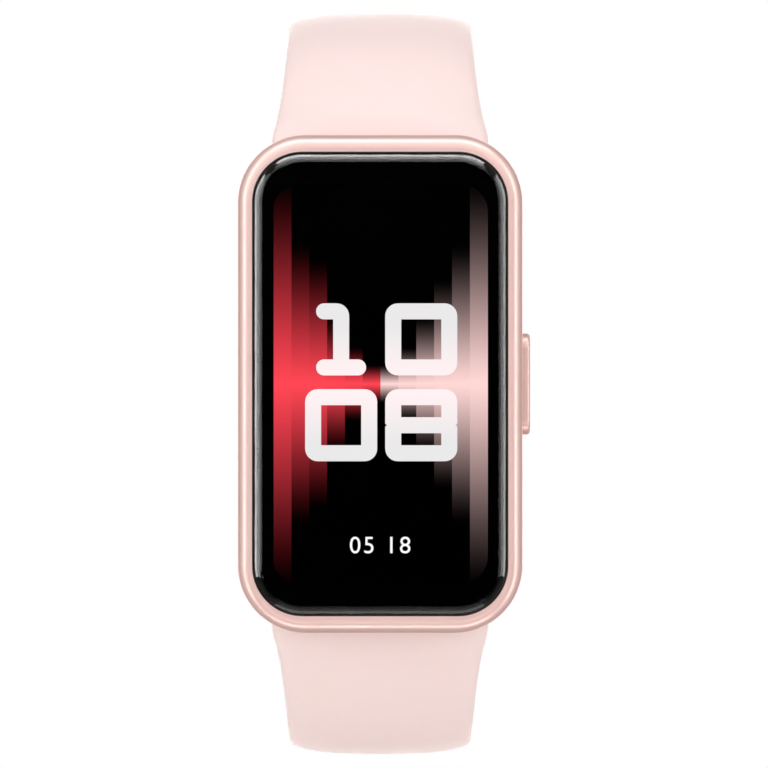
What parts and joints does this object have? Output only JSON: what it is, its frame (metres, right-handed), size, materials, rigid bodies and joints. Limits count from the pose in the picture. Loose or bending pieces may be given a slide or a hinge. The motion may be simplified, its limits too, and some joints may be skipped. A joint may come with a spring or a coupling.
{
  "type": "fitness tracker band",
  "caption": "Rectangular wrist fitness tracker with a touch display, a side button and a buckled two-piece silicone strap, lying open.",
  "frame": {"origin": "middle of the wrist that the band goes round, on the forearm's axis", "axes": "+X along the forearm, towards the side button; +Z towards the buckle end of the case; the display faces -Y"},
  "size_m": [0.0256, 0.109, 0.0654],
  "materials": {
    "rose_metal": "fine-blasted anodised",
    "buckle_metal": "satin anodised",
    "silicone": "soft matt silicone",
    "glass": "polished",
    "display": "black panel",
    "black_seal": "matt",
    "clear_adhesive": "clear",
    "back_plastic": "satin",
    "dark_window": "polished, smoked",
    "contact_gold": "plated",
    "magnet": "plated",
    "steel": "stainless",
    "circuit_board": "solder mask",
    "chip": "moulded",
    "battery_foil": "foil pouch",
    "led": "clear resin"
  },
  "bodies": {
    "case": {"case_frame": "rose_metal", "back_cover": "back_plastic", "back_cover_gasket": "black_seal", "sensor_window": "dark_window", "charging_pins": "contact_gold", "charging_pin_seals": "black_seal", "charging_magnets": "magnet", "cover_glass": "glass", "glass_gasket": "black_seal", "display_adhesive": "clear_adhesive", "display_panel": "display", "display_foam_pad": "black_seal", "inner_bracket": "steel", "display_flex": "circuit_board", "main_board": "circuit_board", "board_screws": "steel", "board_chips": "chip", "shield_can": "steel", "battery": "battery_foil", "battery_adhesive": "clear_adhesive", "vibration_motor": "steel", "sensor_board": "circuit_board", "green_leds": "led", "photodiodes": "chip", "light_baffle": "black_seal", "button_switch": "chip"},
    "button": {"side_button": "rose_metal", "button_seals": "black_seal", "button_clips": "steel"},
    "upper_band": {"upper_strap": "silicone", "upper_end_sleeve": "steel", "upper_bar_tube": "steel", "upper_bar_spring": "steel"},
    "upper_release": {"upper_release_pin": "steel"},
    "tail_band": {"tail_strap": "silicone", "tail_end_sleeve": "steel", "tail_bar_tube": "steel", "tail_bar_spring": "steel"},
    "tail_release": {"tail_release_pin": "steel"},
    "buckle": {"buckle_frame": "buckle_metal", "buckle_bar": "steel"},
    "tang": {"buckle_tang": "buckle_metal"},
    "keeper": {"strap_keeper": "silicone"}
  },
  "joints": [
    {"name": "side_button_press", "type": "slide", "parent": "case", "child": "button", "axis": [-1, 0, 0], "range_m": [0, 0.00035], "stiffness_N_per_m": 3000, "springref_m": -0.0001},
    {"name": "upper_strap_swing", "type": "hinge", "parent": "case", "child": "upper_band", "pos_m": [0, -0.0236, 0.0186], "axis": [1, 0, 0], "range_deg": [-8, 24]},
    {"name": "tail_strap_swing", "type": "hinge", "parent": "case", "child": "tail_band", "pos_m": [0, -0.0236, -0.0186], "axis": [-1, 0, 0], "range_deg": [-8, 24]},
    {"name": "upper_release_slide", "type": "slide", "parent": "upper_band", "child": "upper_release", "axis": [-1, 0, 0], "range_m": [0, 0.0012], "stiffness_N_per_m": 500, "springref_m": -0.001},
    {"name": "tail_release_slide", "type": "slide", "parent": "tail_band", "child": "tail_release", "axis": [-1, 0, 0], "range_m": [0, 0.0012], "stiffness_N_per_m": 500, "springref_m": -0.001},
    {"name": "buckle_swing", "type": "hinge", "parent": "upper_band", "child": "buckle", "pos_m": [0, 0.04295, 0.00824], "axis": [1, 0, 0], "range_deg": [-75, 35]},
    {"name": "tang_swing", "type": "hinge", "parent": "buckle", "child": "tang", "pos_m": [0, 0.04295, 0.00824], "axis": [1, 0, 0], "range_deg": [0, 70]},
    {"name": "keeper_slide", "type": "slide", "parent": "upper_band", "child": "keeper", "axis": [0, -0.848, 0.5299], "range_m": [-0.005, 0.014]}
  ]
}
